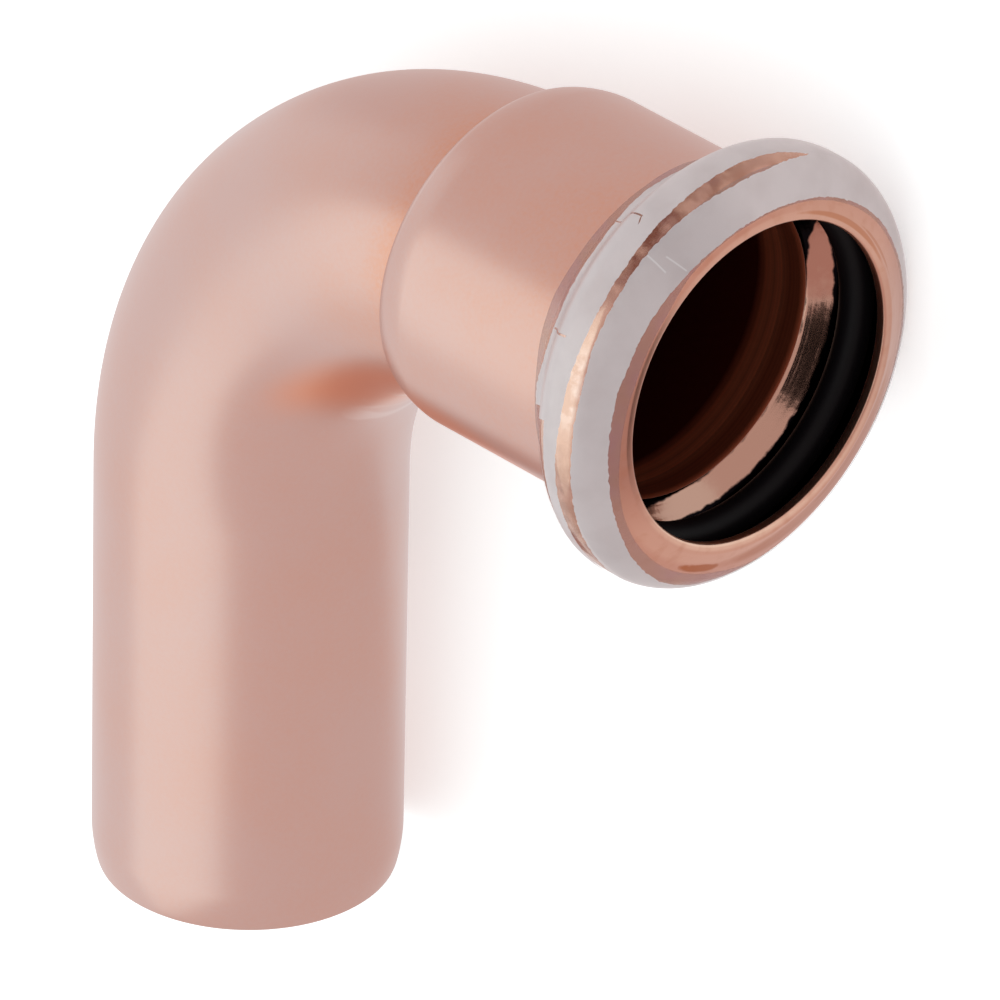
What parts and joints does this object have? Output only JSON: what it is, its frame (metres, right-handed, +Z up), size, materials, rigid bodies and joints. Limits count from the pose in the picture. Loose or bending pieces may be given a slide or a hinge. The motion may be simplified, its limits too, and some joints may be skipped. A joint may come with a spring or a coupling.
{
  "type": "press fitting elbow",
  "caption": "Right-angle copper press fitting elbow with one plain tube end and one swaged socket that holds a rubber seal ring under a clear shrink-film press indicator",
  "frame": {"origin": "centre of the footprint, on the ground: the fitting lies on its side, as it comes to rest", "axes": "+Y runs from the cut face of the plain end up the straight leg, +X points roughly out of the socket's mouth, +Z is up; the socket tips up 6 degrees from the ground because the plain leg and the wider bead both touch it"},
  "size_m": [0.061, 0.0756, 0.0317],
  "materials": {
    "copper": null,
    "black_rubber": "black seal rubber with a soft sheen",
    "clear_film": "thin clear shrink film with white printed bands"
  },
  "bodies": {
    "root": {"copper_elbow": "copper", "seal_ring": "black_rubber", "indicator_sleeve": "clear_film"}
  },
  "joints": []
}
